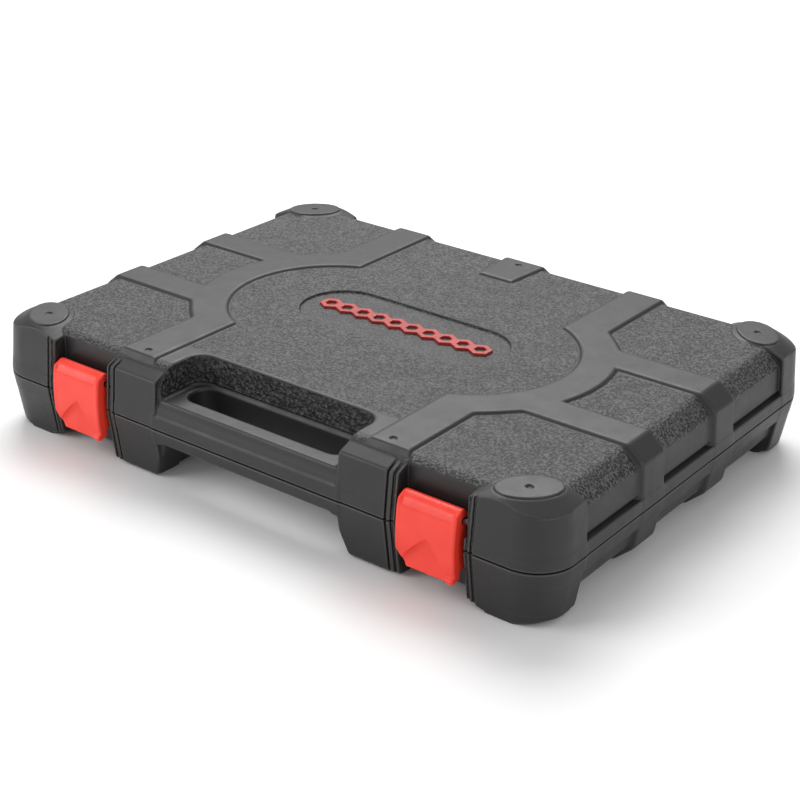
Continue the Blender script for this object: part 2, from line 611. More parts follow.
def lid_liner(x, y, z):
    """The lid's inner skin, with shallow raised panels between its ribs."""
    h = height_in(LID, z)
    inside = casing_hollow(LID, x, y, wall_edge(LID, x, y, h), h) + LINER.gap
    pitch, half_width = LINER.panel_x
    column = np.abs(np.abs(x) - pitch * (np.abs(x) > pitch / 2)) - half_width
    row = np.abs(y - LINER.panel_y[0]) - LINER.panel_y[1]
    panel = smooth_max(column, row, LINER.panel_corner)
    level = LINER.level + LINER.relief * rise(-panel, 0, LINER.slope)
    solid = smooth_max(inside, level - z, ROUND.skin)
    return np.maximum(skin_of(solid, LINER.skin), z - LINER.top)


# ------------------------------------------------------------------ meshes from distance fields

WORKERS = 4
CHUNK = 200000


def in_chunks(function, points):
    """A vectorised function of points, worked out in parallel pieces."""
    pieces = np.array_split(points, max(1, len(points) // CHUNK))
    with ThreadPoolExecutor(WORKERS) as pool:
        return np.concatenate(list(pool.map(function, pieces)))


def steps(*stretches):
    """Grid lines from (start, end, spacing) stretches that follow on from each other."""
    lines = [np.linspace(a, b, int(round((b - a) / gap)), endpoint=False)
             for a, b, gap in stretches]
    return np.concatenate(lines + [[stretches[-1][1]]])


def grid_values(field, xs, ys, zs):
    """A field on every point of a grid, one slice of x at a time."""
    y, z = np.meshgrid(ys, zs, indexing="ij")

    def slice_at(x):
        return field(np.full_like(y, x), y, z)

    with ThreadPoolExecutor(WORKERS) as pool:
        return np.stack(list(pool.map(slice_at, xs)))


def part_along(values, axis, start, length):
    """A stretch of an array along one axis."""
    index = [slice(None)] * values.ndim
    index[axis] = slice(start, start + length)
    return values[tuple(index)]


def crossing_points(values, axes):
    """Sum and count of the zero crossings on the edges of every grid cell."""
    cells = tuple(n - 1 for n in values.shape)
    places = np.meshgrid(*[line.astype(np.float32) for line in axes], indexing="ij", sparse=True)
    total = np.zeros((3,) + cells, dtype=np.float32)
    count = np.zeros(cells, dtype=np.float32)
    for axis in range(3):
        low = part_along(values, axis, 0, cells[axis])
        high = part_along(values, axis, 1, cells[axis])
        crossed = (low < 0) != (high < 0)
        share = np.where(crossed, low / np.where(crossed, low - high, 1), 0)
        others = [a for a in range(3) if a != axis]
        sums = [(count, crossed.astype(np.float32))]
        for a in range(3):
            place = part_along(places[a], axis, 0, cells[axis]) if a == axis else places[a]
            if a == axis:
                place = place + share * np.diff(places[a], axis=axis)
            sums.append((total[a], place * crossed))
        for da in (0, 1):
            for db in (0, 1):
                for target, source in sums:
                    shifted = part_along(source, others[0], da, cells[others[0]])
                    target += part_along(shifted, others[1], db, cells[others[1]])
    return total, count


def surface_net(values, xs, ys, zs):
    """Vertices and quads of the zero surface of a gridded field."""
    axes = [xs, ys, zs]
    total, count = crossing_points(values, axes)
    filled = count > 0
    number = np.full(filled.shape, -1, dtype=np.int64)
    number[filled] = np.arange(filled.sum())
    vertices = (total[:, filled] / count[filled]).T
    quads = []
    for axis in range(3):
        low = np.take(values, range(values.shape[axis] - 1), axis=axis) < 0
        high = np.take(values, range(1, values.shape[axis]), axis=axis) < 0
        index = list(np.nonzero(low != high))
        outward = low[tuple(index)]
        a, b = [(1, 2), (2, 0), (0, 1)][axis]
        ring = []
        for da, db in ((1, 1), (0, 1), (0, 0), (1, 0)):
            cell = [n.copy() for n in index]
            cell[a] -= da
            cell[b] -= db
            ring.append(number[tuple(cell)])
        quad = np.stack(ring, axis=1)
        quad[~outward] = quad[~outward][:, ::-1]
        quads.append(quad)
    return vertices, np.concatenate(quads)


def gradient(field, points, reach=0.05):
    """The field's slope at each point."""
    def at(chunk):
        x, y, z = chunk.T
        return np.stack([
            field(x + reach, y, z) - field(x - reach, y, z),
            field(x, y + reach, z) - field(x, y - reach, z),
            field(x, y, z + reach) - field(x, y, z - reach)], axis=1) / (2 * reach)
    return in_chunks(at, points)


def onto_surface(field, points, rounds=2, limit=0.8):
    """Points moved along the slope until they lie on the surface."""
    for _ in range(rounds):
        slope = gradient(field, points)
        value = in_chunks(lambda chunk: field(*chunk.T), points)
        steep = np.maximum((slope ** 2).sum(axis=1), 0.05)
        move = np.clip(value / steep, -limit, limit)
        points = points - slope * move[:, None]
    return points


def unit(vectors):
    return vectors / np.maximum(np.linalg.norm(vectors, axis=1), 1e-9)[:, None]


def bend_at(field, points, reach=0.7):
    """How much the surface bulges out at each point, for wear along the edges."""
    def at(chunk):
        x, y, z = chunk.T
        nearby = sum(field(x + s * (a == 0), y + s * (a == 1), z + s * (a == 2))
                     for a in range(3) for s in (-reach, reach))
        return (nearby - 6 * field(x, y, z)) / reach ** 2
    return in_chunks(at, points)


def to_metres(points):
    """Case millimetres to the CAD frame in metres."""
    return (points + np.array([0, ROW_SHIFT_Y, 0])) * MM


def new_object(name, mesh):
    thing = bpy.data.objects.new(name, mesh)
    bpy.context.scene.collection.objects.link(thing)
    return thing


def mesh_from(name, vertices, faces):
    """A mesh from an array of points and an array of equal sized faces."""
    mesh = bpy.data.meshes.new(name)
    corners = faces.shape[1]
    mesh.vertices.add(len(vertices))
    mesh.vertices.foreach_set("co", np.asarray(vertices, dtype=np.float32).ravel())
    mesh.loops.add(faces.size)
    mesh.loops.foreach_set("vertex_index", faces.astype(np.int32).ravel())
    mesh.polygons.add(len(faces))
    mesh.polygons.foreach_set("loop_start", np.arange(0, faces.size, corners, dtype=np.int32))
    mesh.update(calc_edges=True)
    mesh.validate()
    return mesh


def thinned(mesh, ratio):
    """The mesh with fewer triangles where it is flat."""
    thing = new_object("thinning", mesh)
    modifier = thing.modifiers.new("decimate", "DECIMATE")
    modifier.ratio = ratio
    done = bpy.data.meshes.new_from_object(
        thing.evaluated_get(bpy.context.evaluated_depsgraph_get()))
    bpy.data.objects.remove(thing)
    bpy.data.meshes.remove(mesh)
    return done


def mesh_points(mesh):
    points = np.empty(len(mesh.vertices) * 3, dtype=np.float32)
    mesh.vertices.foreach_get("co", points)
    return points.reshape(-1, 3)


def add_attribute(mesh, name, values):
    layer = mesh.attributes.new(name, "FLOAT", "POINT")
    layer.data.foreach_set("value", np.asarray(values, dtype=np.float32))


def field_piece(name, field, xs, ys, zs, triangles, mirrored=False, masks=None):
    """An object meshed from a distance field, with true normals and named surface masks."""
    if mirrored:
        half = grid_values(field, xs, ys, zs)
        values = np.concatenate([half[:0:-1], half])
        xs = np.concatenate([-xs[:0:-1], xs])
    else:
        values = grid_values(field, xs, ys, zs)
    vertices, quads = surface_net(values.astype(np.float32), xs, ys, zs)
    mesh = mesh_from(name, vertices, quads)
    mesh = thinned(mesh, min(1.0, triangles / (2 * len(quads))))
    points = onto_surface(field, mesh_points(mesh).astype(np.float64))
    normals = unit(gradient(field, points))
    add_attribute(mesh, "bulge", np.clip(bend_at(field, points), -2, 2))
    for mask, values in (masks(points, normals) if masks else {}).items():
        add_attribute(mesh, mask, values)
    mesh.vertices.foreach_set("co", to_metres(points).astype(np.float32).ravel())
    mesh.polygons.foreach_set("use_smooth", np.ones(len(mesh.polygons), dtype=bool))
    mesh.normals_split_custom_set_from_vertices(normals)
    mesh.update()
    mesh.name = name
    return new_object(name, mesh)


def rise(value, low, high):
    """0 below low, 1 above high, smooth between."""
    t = np.clip((value - low) / (high - low), 0, 1)
    return t * t * (3 - 2 * t)


def casing_masks(half):
    """Where a casing half is grained and where its grain is coarse."""
    def masks(points, normals):
        x, y, z = points.T
        h = height_in(half, z)
        edge = wall_edge(half, x, y, h)
        envelope = casing_envelope(half, edge, h)
        plan = np.minimum(front_band_plan(x, y), back_pad(x, y) if half is LID else 99.0)
        rib = np.maximum((plan + RIB_DRAFT * envelope) / math.hypot(1, RIB_DRAFT), envelope)
        smooth = reduce(np.minimum, [rib, corner_blocks(half, x, y, edge, h),
                                     towers(half, x, y, edge, h)])
        grain = rise(smooth, 0.15, 0.8) * rise(h, half.grain_from - 1, half.grain_from + 1)
        grain = grain * (np.abs(casing_panels(half, edge, h)) < 2.0)
        coarse = np.zeros_like(x)
        if half is LID:
            grain = grain * rise(recess_rim(x, y, edge, h), 0.05, 0.25)
            grain = grain * rise(hand_recess(x, y, z), 0.4, 1.4)
            grain = grain * (1 - 0.6 * rise(-emblem_recess(x, y, h), -0.2, 0.2))
            coarse = rise(-coarse_pocket(x, y, z), -0.35, -0.1)
        grain = grain * rise(latch_bays(x, y), 0.1, 0.5)
        return {"grain": grain, "coarse": coarse}
    return masks


# ------------------------------------------------------------------ tools turned and swept

AROUND = 96
ANGLES = np.arange(AROUND) * (2 * math.pi / AROUND)
SHARP_ANGLE = math.radians(28)
ALONG_X = np.array([[1, 0, 0], [0, 0, -1], [0, -1, 0]], dtype=float)
ALONG_MINUS_Y = np.array([[0, -1, 0], [1, 0, 0], [0, 0, 1]], dtype=float)
ALONG_Z = np.array([[0, 0, 1], [1, 0, 0], [0, 1, 0]], dtype=float)
TIP = 0.05


def flat_sided(sides, across_flats, corner_share=1.0):
    """Radius round a polygon of that many sides, its corners cut at a share of their reach."""
    apothem = across_flats / 2
    turn = 2 * math.pi / sides
    radius = apothem / np.cos((ANGLES + turn / 2) % turn - turn / 2)
    return np.minimum(radius, corner_share * apothem / math.cos(turn / 2))


def hexagonal(across_flats):
    return flat_sided(6, across_flats)


def squared(across_flats):
    return flat_sided(4, across_flats, 0.93)


def lofted(name, loops, closed):
    """A body through loops of points: joined end to start, or capped at both ends."""
    count, around = loops.shape[:2]
    index = np.arange(count * around).reshape(count, around)
    if closed:
        index = np.concatenate([index, index[:1]])
    low, high = index[:-1], index[1:]
    quads = np.stack([low, np.roll(low, -1, 1), np.roll(high, -1, 1), high], axis=-1).reshape(-1, 4)
    k = np.arange(around // 2 - 1)
    for loop in [] if closed else [index[0][::-1], index[-1]]:
        cap = np.stack([loop[k], loop[k + 1], loop[around - 2 - k], loop[around - 1 - k]], axis=1)
        quads = np.concatenate([quads, cap])
    mesh = mesh_from(name, to_metres(loops.reshape(-1, 3)), quads)
    faces = bmesh.new()
    faces.from_mesh(mesh)
    bmesh.ops.recalc_face_normals(faces, faces=faces.faces)
    faces.to_mesh(mesh)
    faces.free()
    mesh.polygons.foreach_set("use_smooth", np.ones(len(mesh.polygons), dtype=bool))
    mesh.set_sharp_from_angle(angle=SHARP_ANGLE)
    return new_object(name, mesh)


def turned(name, rings, origin, axes, closed=False):
    """A body round an axis from (distance along, radius) rings; a radius may vary round it."""
    loops = []
    for along, radius in rings:
        reach = np.broadcast_to(radius, AROUND)[:, None]
        circle = np.cos(ANGLES)[:, None] * axes[1] + np.sin(ANGLES)[:, None] * axes[2]
        loops.append(np.array(origin) + along * axes[0] + reach * circle)
    return lofted(name, np.array(loops), closed)


def placed(piece, body, slot_name, looks):
    """Gives a finished piece its material and lets it stand for the CAD node of its name."""
    node = piece.name.split(".")[0]
    piece.data.materials.clear()
    piece.data.materials.append(looks[slot_name])
    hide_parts(node)
    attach(piece, body)
    return piece


def outside_of(size, least):
    return max(least, size * SOCKET.wall_share + SOCKET.wall)


def socket_rings(size, drive, length, outside):
    """Outside, hexagon opening, bore and square of one socket, in one closed loop."""
    radius = outside / 2
    hex_depth = min(length * SOCKET.longest_hex, size * SOCKET.hex_share + SOCKET.hex_extra)
    square_depth = drive * SOCKET.drive_share
    bore = min(size, drive) * SOCKET.bore_share
    groove = [length * SOCKET.groove_at + along for along in SOCKET.groove]
    sunk = radius - SOCKET.groove_depth
    flats = hexagonal(size + SOCKET.play)
    square = squared(drive + SQUARE_CLEARANCE)
    return [
        (0, radius - SOCKET.bevel), (SOCKET.bevel, radius),
        (groove[0], radius), (groove[1], sunk), (groove[2], sunk), (groove[3], radius),
        (length - 1, radius), (length - 0.25, radius - 0.6), (length, radius - 1),
        (length, np.minimum(size * 0.6 + 0.1, radius - 1.2)), (length - SOCKET.mouth, flats),
        (length - hex_depth, flats), (length - hex_depth, bore), (square_depth, bore),
        (square_depth, square), (SOCKET.entry, square), (0, square + 0.6),
    ]


def row_places(row):
    edge = row.left
    for size in row.sizes:
        outside = outside_of(size, row.least)
        yield size, outside, edge + outside / 2
        edge += outside + SOCKET_GAP


def row_length(row, size):
    return row.big_length if size >= row.big_size else row.length


def socket_row(row):
    for size, outside, x in row_places(row):
        length = row_length(row, size)
        rings = socket_rings(size, row.drive, length, outside)
        back = (x, row.y + length / 2, row.z)
        yield turned(f"{row.name}_{size}", rings, back, ALONG_MINUS_Y, True)


def plug_sockets():
    for size, y in PLUG_SOCKETS:
        rings = socket_rings(size, HALF_INCH, PLUG.length, outside_of(size, LARGE_ROW.least))
        back = (PLUG.left, y, PLUG.z)
        yield turned(f"spark_plug_socket_{size}", rings, back, ALONG_X, True)


def extension_bar(name, drive, length, left, y):
    """A bar with a square hole in its eye and a square end past its shoulder."""
    shaft, eye, collar = drive * BAR.shaft, drive * BAR.eye, drive * BAR.collar
    depth, shoulder = drive * BAR.hole_depth, length - drive * BAR.tip
    groove = [drive * share for share in BAR.eye_groove]
    taper = [drive * share for share in BAR.eye_end]
    flare = [shoulder - drive * share for share in BAR.collar_start]
    hole, end = squared(drive + SQUARE_CLEARANCE), squared(drive - SQUARE_CLEARANCE)
    rings = [
        (depth, TIP), (depth, hole), (0.7, hole), (0, hole + 0.5), (0, eye - 0.7), (0.7, eye),
        (groove[0], eye), (groove[1], eye - 0.4), (groove[2], eye - 0.4), (groove[3], eye),
        (taper[0], eye), (taper[1], eye - 0.3), (taper[2], shaft),
        (flare[0], shaft), (flare[1], collar - 0.2), (flare[2], collar),
        (shoulder - 0.5, collar), (shoulder, collar - 0.5), (shoulder, end),
        (length - 0.9, end), (length, end - 0.9), (length, TIP),
    ]
    return turned(name, rings, (left, y, TOOL_Z), ALONG_X)


def driver_grip():
    """A fluted handle with a square hole in its end and a bore for the shank."""
    length, radius = DRIVER.grip_length, DRIVER.grip_radius
    hole = squared(QUARTER_INCH + SQUARE_CLEARANCE)
    wave = np.maximum(np.cos(FLUTE.count * ANGLES), 0) ** 2
    rings = [(DRIVER.hole_depth, TIP), (DRIVER.hole_depth, hole), (0, hole)]
    rings += [(along, radius * share) for along, share in DRIVER_BUTT]
    for share in np.linspace(FLUTE.start, FLUTE.end, FLUTE.rings):
        swell = math.pi * (share - FLUTE.start) / (FLUTE.end - FLUTE.start)
        depth = FLUTE.depth * math.sin(swell) ** 0.5 if FLUTE.start < share < FLUTE.end else 0
        rings.append((length * share, radius - depth * wave))
    rings += [(length * along, radius * share) for along, share in DRIVER_WAIST]
    bore_end = length * DRIVER.bore_from
    rings += [(length, DRIVER.bore), (bore_end, DRIVER.bore), (bore_end, TIP)]
    return turned("driver_grip", rings, (DRIVER.left, DRIVER.y, TOOL_Z), ALONG_X)


def driver_shank():
    start = DRIVER.grip_length * DRIVER.bore_from + 0.4
    end = DRIVER.length - QUARTER_INCH * BAR.hole_depth
    collar = end - DRIVER.collar_length
    square = squared(QUARTER_INCH - SQUARE_CLEARANCE)
    rings = [(start, TIP), (start, DRIVER.shank), (collar, DRIVER.shank), (collar + 1, DRIVER.eye),
             (end - 0.4, DRIVER.eye), (end, DRIVER.eye - 0.4), (end, square),
             (DRIVER.length - 0.6, square), (DRIVER.length, square - 0.6), (DRIVER.length, TIP)]
    return turned("driver_shank", rings, (DRIVER.left, DRIVER.y, TOOL_Z), ALONG_X)


def t_handle_bar():
    reach, radius = T_HANDLE.half_length, T_HANDLE.radius
    rings = [(-reach, TIP), (-reach, radius - 1), (-reach + 1, radius), (reach - 1, radius),
             (reach, radius - 1), (reach, TIP)]
    return turned("t_handle_bar", rings, (T_HANDLE.centre, T_HANDLE.y, TOOL_Z), ALONG_X)


def ratchet_grip(ratchet):
    """A rubber sleeve with rings of ridges, bored for the neck."""
    length, radius = ratchet.grip_end - ratchet.grip_start, ratchet.grip
    bore, end = ratchet.neck + WELL_GAP, length - GRIP_END
    rings = [(end, TIP), (end, bore), (0, bore), (0, radius * 0.8)]
    for along in np.arange(1.0, length - 1.0, GRIP_RIDGE.step):
        wave = (math.cos(2 * math.pi * along / GRIP_RIDGE.pitch) - 1) / 2
        ridged = GRIP_RIDGE.start < along / length < GRIP_RIDGE.end
        outline = radius * np.interp(along / length, *GRIP_OUTLINE)
        rings.append((along, outline + GRIP_RIDGE.depth * wave * ridged))
    rings += [(length - 0.6, radius * 0.8), (length, radius * 0.66), (length, TIP)]
    x, y, z = ratchet.at
    return turned(f"{ratchet.name}_grip", rings, (x + ratchet.grip_start, y, z), ALONG_X)


def ratchet_cover(ratchet):
    """The cover disc with its bevelled rim, round the release button."""
    low, high = ratchet.half_height * HEAD.seat + 0.3, ratchet.half_height + COVER_LIFT
    rim, hole = ratchet.head * HEAD.cover, ratchet.button + BUTTON_GAP
    rings = [(low, hole), (low, rim), (high - 0.5, rim), (high, rim - 0.5), (high, hole + 0.3),
             (high - 0.3, hole)]
    return turned(f"{ratchet.name}_cover", rings, ratchet.at, ALONG_Z, True)


def ratchet_button(ratchet):
    top = ratchet.half_height + SELECTOR_LIFT + ratchet.head * HEAD.dial_height + ratchet.travel
    shoulder = ratchet.half_height * HEAD.button_well + ratchet.travel + BUTTON_GAP
    low, rod = -ratchet.half_height + ratchet.travel + BUTTON_GAP, ratchet.button / 2
    rings = [(low, TIP), (low, rod), (shoulder, rod), (shoulder, ratchet.button),
             (top - 0.8, ratchet.button), (top - 0.2, ratchet.button - 0.5),
             (top, ratchet.button - 1.1), (top - 0.3, TIP)]
    return turned(f"{ratchet.name}_release_button", rings, ratchet.at, ALONG_Z)


def ratchet_body(ratchet):
    """The head and neck, with the wells for gear, cover and hub."""
    def field(x, y, z):
        x, y, z = x - ratchet.at[0], y - ratchet.at[1], z - ratchet.at[2]
        round_z = np.hypot(x, y)
        half, end = ratchet.half_height, ratchet.grip_end - GRIP_END - NECK_GAP
        head = smooth_max(round_z - ratchet.head, np.abs(z) - half, ratchet.head * HEAD.bevel)
        thinnest, swell = HEAD.neck_taper
        radius = ratchet.neck * (thinnest + swell * np.clip(x / end, 0, 1))
        neck = all_of([np.hypot(y, z) - radius, x - end, -x], 1.0)
        body = smooth_min(head, neck, ratchet.neck)
        body = smooth_max(body, np.abs(z) - half, 0.8)
        wells = [(ratchet.gear, -half * HEAD.gear_floor - z),
                 (ratchet.head * HEAD.cover, half * HEAD.seat - z),
                 (ratchet.square * HEAD.hub, z)]
        wells = [smooth_max(round_z - reach - WELL_GAP, floor, 0.3) for reach, floor in wells]
        return cut(body, reduce(np.minimum, wells), 0.4)
    return field


def ratchet_selector(ratchet):
    """The dial round the button, with its thumb lever."""
    def field(x, y, z):
        x, y, z = x - ratchet.at[0], y - ratchet.at[1], z - ratchet.at[2]
        floor, height = ratchet.half_height + SELECTOR_LIFT, ratchet.head * HEAD.dial_height
        round_z = np.hypot(x, y)
        dial = smooth_max(round_z - ratchet.head * HEAD.dial, between(z, floor, floor + height),
                          1.0)
        tip, root = [-ratchet.head * share for share in HEAD.lever_reach]
        lever = all_of([between(x, tip, root), np.abs(y) - ratchet.head * HEAD.lever_half_width,
                        between(z, floor, floor + height * HEAD.lever_height)], 0.8)
        return cut(smooth_min(dial, lever, 1.0), round_z - ratchet.button - BUTTON_GAP, 0.3)
    return field


def t_handle_slider(x, y, z):
    """The sliding block with its square end."""
    x, y, z = x - T_HANDLE.centre, y - T_HANDLE.y, z - TOOL_Z
    long, wide, deep = T_HANDLE.block
    block = all_of([np.abs(x) - long, np.abs(y) - wide, np.abs(z) - deep], 1.2)
    half = (QUARTER_INCH - SQUARE_CLEARANCE) / 2
    end = all_of([np.abs(x) - half, np.abs(y) - half,
                  between(z, -deep - T_HANDLE.square_length, 0)], 0.8)
    bore = np.hypot(y, z) - T_HANDLE.radius - T_HANDLE.play
    return cut(smooth_min(block, end, 0.6), bore, 0.4)


def bit_rack(x, y, z):
    """A rubber bar with a row of hexagon holes."""
    pitch = BIT_RACK.length / BIT_RACK.holes
    x, y = x - BIT_RACK.left, y - BIT_RACK.y
    bar = all_of([between(x, 0, BIT_RACK.length), np.abs(y) - BIT_RACK.half_width,
                  between(z, BIT_RACK.bottom, BIT_RACK.top)], 1.6)
    local = x - (np.clip(np.floor(x / pitch), 0, BIT_RACK.holes - 1) + 0.5) * pitch
    hole = np.maximum(hexagon(y, local, BIT_RACK.flats / 2), BIT_RACK.bottom + BIT_RACK.floor - z)
    return cut(bar, hole, 0.6)


def hex_key(index, flats, long, short):
    """A bent hexagonal key: the long arm along +X and the short arm along +Y."""
    bend = flats * KEY_RACK.bend
    angles = np.linspace(0, math.pi / 2, 14)
    arm = [(long, 0, 0), (long - 0.4, 0, 0)]
    arm += [(bend - bend * math.sin(a), bend - bend * math.cos(a), a) for a in angles]
    arm += [(0, short - 0.4, math.pi / 2), (0, short, math.pi / 2)]
    corner = flats / 2 / math.cos(math.pi / 6)
    loops = []
    for number, (x, y, a) in enumerate(arm):
        radius = corner - 0.4 * (number in (0, len(arm) - 1))
        turn = np.arange(6) * math.pi / 3
        out, up = radius * np.cos(turn), radius * np.sin(turn)
        loops.append(np.stack([x - out * math.sin(a), y - out * math.cos(a), up], axis=1))
    across, back = KEY_RACK.step
    origin = np.array([KEY_RACK.left + index * across, KEY_RACK.y + index * back, KEY_RACK.z])
    return lofted(f"hex_key_{flats}", np.array(loops) + origin, False)


# ------------------------------------------------------------------ pockets of the tray


def well(xs, ys, floor, rounding):
    """A pocket with room round its tool: x from and to, y from and to, floor and rounding."""
    c = TRAY.clearance
    return (xs[0] - c, xs[1] + c, ys[0] - c, ys[1] + c, floor - c, rounding)


def around_bar(left, right, y, reach, z):
    """The pocket of a round tool that lies along X."""
    return well((left, right), (y - reach, y + reach), z - reach, reach)


def row_wells(row):
    for size, outside, x in row_places(row):
        half, reach = row_length(row, size) / 2, outside / 2
        yield well((x - reach, x + reach), (row.y - half, row.y + half), row.z - reach, reach)


def ratchet_wells(ratchet):
    x, y, z = ratchet.at
    low = z - ratchet.half_height
    yield square_well(x, y, ratchet.head, low, 3.0)
    yield square_well(x, y, ratchet.square * HEAD.square_room, low - ratchet.square_length, 1.0)
    yield around_bar(x, x + ratchet.grip_start, y, ratchet.neck, z)
    yield around_bar(x + ratchet.grip_start, x + ratchet.grip_end, y, ratchet.grip, z)


def square_well(x, y, reach, floor, rounding):
    return well((x - reach, x + reach), (y - reach, y + reach), floor, rounding)


def small_tool_wells():
    """The pockets of the sliding handle, the bit rack and the keys."""
    reach, side = T_HANDLE.half_length, T_HANDLE.block[1] + T_HANDLE.play
    floor = TOOL_Z - T_HANDLE.block[2] - T_HANDLE.square_length
    yield well((T_HANDLE.centre - reach, T_HANDLE.centre + reach),
               (T_HANDLE.y - side, T_HANDLE.y + side), floor, 2.0)
    yield well((BIT_RACK.left, BIT_RACK.left + BIT_RACK.length),
               (BIT_RACK.y - BIT_RACK.half_width, BIT_RACK.y + BIT_RACK.half_width),
               BIT_RACK.bottom, 1.0)
    across, along = KEY_RACK.step
    right = max(KEY_RACK.left + i * across + long for i, (_, long, _) in enumerate(HEX_KEYS))
    back = max(KEY_RACK.y + i * along + short for i, (_, _, short) in enumerate(HEX_KEYS))
    room = HEX_KEYS[0][0] * KEY_RACK.room
    yield well((KEY_RACK.left - room, right), (KEY_RACK.y - room, back),
               KEY_RACK.z - KEY_RACK.depth, 2.0)


def tray_wells():
    """The pocket of every tool."""
    wells = [*row_wells(LARGE_ROW), *row_wells(SMALL_ROW)]
    wells += [*ratchet_wells(LARGE_RATCHET), *ratchet_wells(SMALL_RATCHET)]
    for size, y in PLUG_SOCKETS:
        reach = outside_of(size, LARGE_ROW.least) / 2
        wells.append(around_bar(PLUG.left, PLUG.left + PLUG.length, y, reach, PLUG.z))
    for _, drive, length, left, y in BARS:
        wells.append(around_bar(left, left + length, y, drive * BAR.eye, TOOL_Z))
    for length, reach in ((DRIVER.grip_length, DRIVER.grip_radius), (DRIVER.length, DRIVER.eye)):
        wells.append(around_bar(DRIVER.left, DRIVER.left + length, DRIVER.y, reach, TOOL_Z))
    return wells + [*small_tool_wells()]


# ------------------------------------------------------------------ materials


class Look:
    """A material under construction: adds nodes and links them to its shader."""

    def __init__(self, name):
        self.material = bpy.data.materials.new(name)
        self.material.use_nodes = True
        self.tree = self.material.node_tree
        self.shader = self.tree.nodes["Principled BSDF"]
        self.place = self.add("ShaderNodeTexCoord").outputs["Object"]

    def add(self, kind, settings=None, **inputs):
        node = self.tree.nodes.new(kind)
        for key, value in (settings or {}).items():
            setattr(node, key, value)
        for key, value in inputs.items():
            self.feed(node.inputs[int(key[1:]) if key[0] == "i" and key[1:].isdigit()
                                  else key.replace("_", " ")], value)
        return node

    def feed(self, socket, value):
        if isinstance(value, bpy.types.NodeSocket):
            self.tree.links.new(value, socket)
        else:
            socket.default_value = value

    def noise(self, scale, detail=3.0, roughness=0.55):
        """A noise of about this many cells a metre, 0 to 1."""
        node = self.add("ShaderNodeTexNoise", Vector=self.place, Scale=scale, Detail=detail,
                        Roughness=roughness)
        return node.outputs["Fac"]

    def attribute(self, name):
        return self.add("ShaderNodeAttribute", {"attribute_name": name}).outputs["Fac"]

    def ramp(self, value, low, high, to_low=0.0, to_high=1.0):
        """The value stretched from one range to another and held at its ends."""
        node = self.add("ShaderNodeMapRange", i0=value, i1=low, i2=high, i3=to_low, i4=to_high)
        return node.outputs[0]

    def math(self, operation, a, b):
        return self.add("ShaderNodeMath", {"operation": operation}, i0=a, i1=b).outputs[0]

    def mix(self, share, a, b):
        """A blend of two colours."""
        node = self.add("ShaderNodeMix", {"data_type": "RGBA"}, i0=share, i6=a, i7=b)
        return node.outputs[2]

    def bump(self, height, distance, strength=1.0, over=None):
        node = self.add("ShaderNodeBump", Height=height, Distance=distance, Strength=strength)
        if over is not None:
            self.feed(node.inputs["Normal"], over)
        return node.outputs["Normal"]

    def finish(self, **inputs):
        for key, value in inputs.items():
            self.feed(self.shader.inputs[key.replace("_", " ")], value)
        return self.material


def grey(level, warmth=0.0):
    return (level * (1 + warmth), level, level * (1 - warmth), 1)


def case_plastic():
    """Charcoal moulded plastic: satin ribs, grained panels, coarse black grain in the recess."""
    look = Look("case_plastic_look")
    grain, coarse, bulge = [look.attribute(name) for name in ("grain", "coarse", "bulge")]
    fine = look.noise(760, 2.0, 0.5)
    rough = look.noise(480, 2.5, 0.6)
    broad = look.noise(11, 3.0)
    haze = look.noise(2600, 1.0)
    speckle = look.mix(look.ramp(fine, 0.44, 0.60), grey(0.002), grey(0.10))
    satin = look.mix(look.ramp(haze, 0.3, 0.7), grey(0.013), grey(0.019))
    black = look.mix(look.ramp(rough, 0.46, 0.66), grey(0.001), grey(0.075))
    colour = look.mix(look.math("MULTIPLY", grain, 0.95), satin, speckle)
    colour = look.mix(coarse, colour, black)
    colour = look.mix(look.ramp(bulge, 0.25, 1.3, 0.0, 0.5), colour, grey(0.11))
    colour = look.mix(look.ramp(broad, 0.3, 0.7, 0.0, 0.16), colour, grey(0.012))
    roughness = look.ramp(look.noise(90, 4.0), 0.3, 0.7, 0.40, 0.50)
    roughness = look.math("ADD", roughness, look.math("MULTIPLY", grain, 0.10))
    height = look.math("MULTIPLY", fine, grain)
    pitted = look.math("MULTIPLY", look.math("MULTIPLY", rough, coarse), 2.2)
    height = look.math("ADD", height, pitted)
    height = look.math("ADD", height, look.math("MULTIPLY", haze, 0.05))
    return look.finish(Base_Color=colour, Roughness=roughness, Normal=look.bump(height, 0.0009))


def red_plastic(name, base, deep):
    """Glossy red moulded plastic with faint flow marks."""
    look = Look(name)
    colour = look.mix(look.ramp(look.noise(45, 3.0), 0.3, 0.7), base, deep)
    roughness = look.ramp(look.noise(160, 3.0), 0.3, 0.7, 0.30, 0.42)
    normal = look.bump(look.noise(900, 2.0), 0.00006)
    return look.finish(Base_Color=colour, Roughness=roughness, Normal=normal)


def tray_plastic():
    """Near black moulded plastic with a fine etched grain."""
    look = Look("tray_plastic_look")
    fine = look.noise(1100, 2.0, 0.5)
    broad = look.noise(14, 3.0)
    colour = look.mix(look.ramp(fine, 0.35, 0.65), grey(0.018), grey(0.040))
    colour = look.mix(look.ramp(broad, 0.35, 0.7, 0.0, 0.3), colour, grey(0.05))
    colour = look.mix(look.ramp(look.attribute("bulge"), 0.2, 1.2, 0.0, 0.4), colour, grey(0.12))
    roughness = look.ramp(look.noise(70, 4.0), 0.3, 0.7, 0.46, 0.60)
    return look.finish(Base_Color=colour, Roughness=roughness, Normal=look.bump(fine, 0.0003))


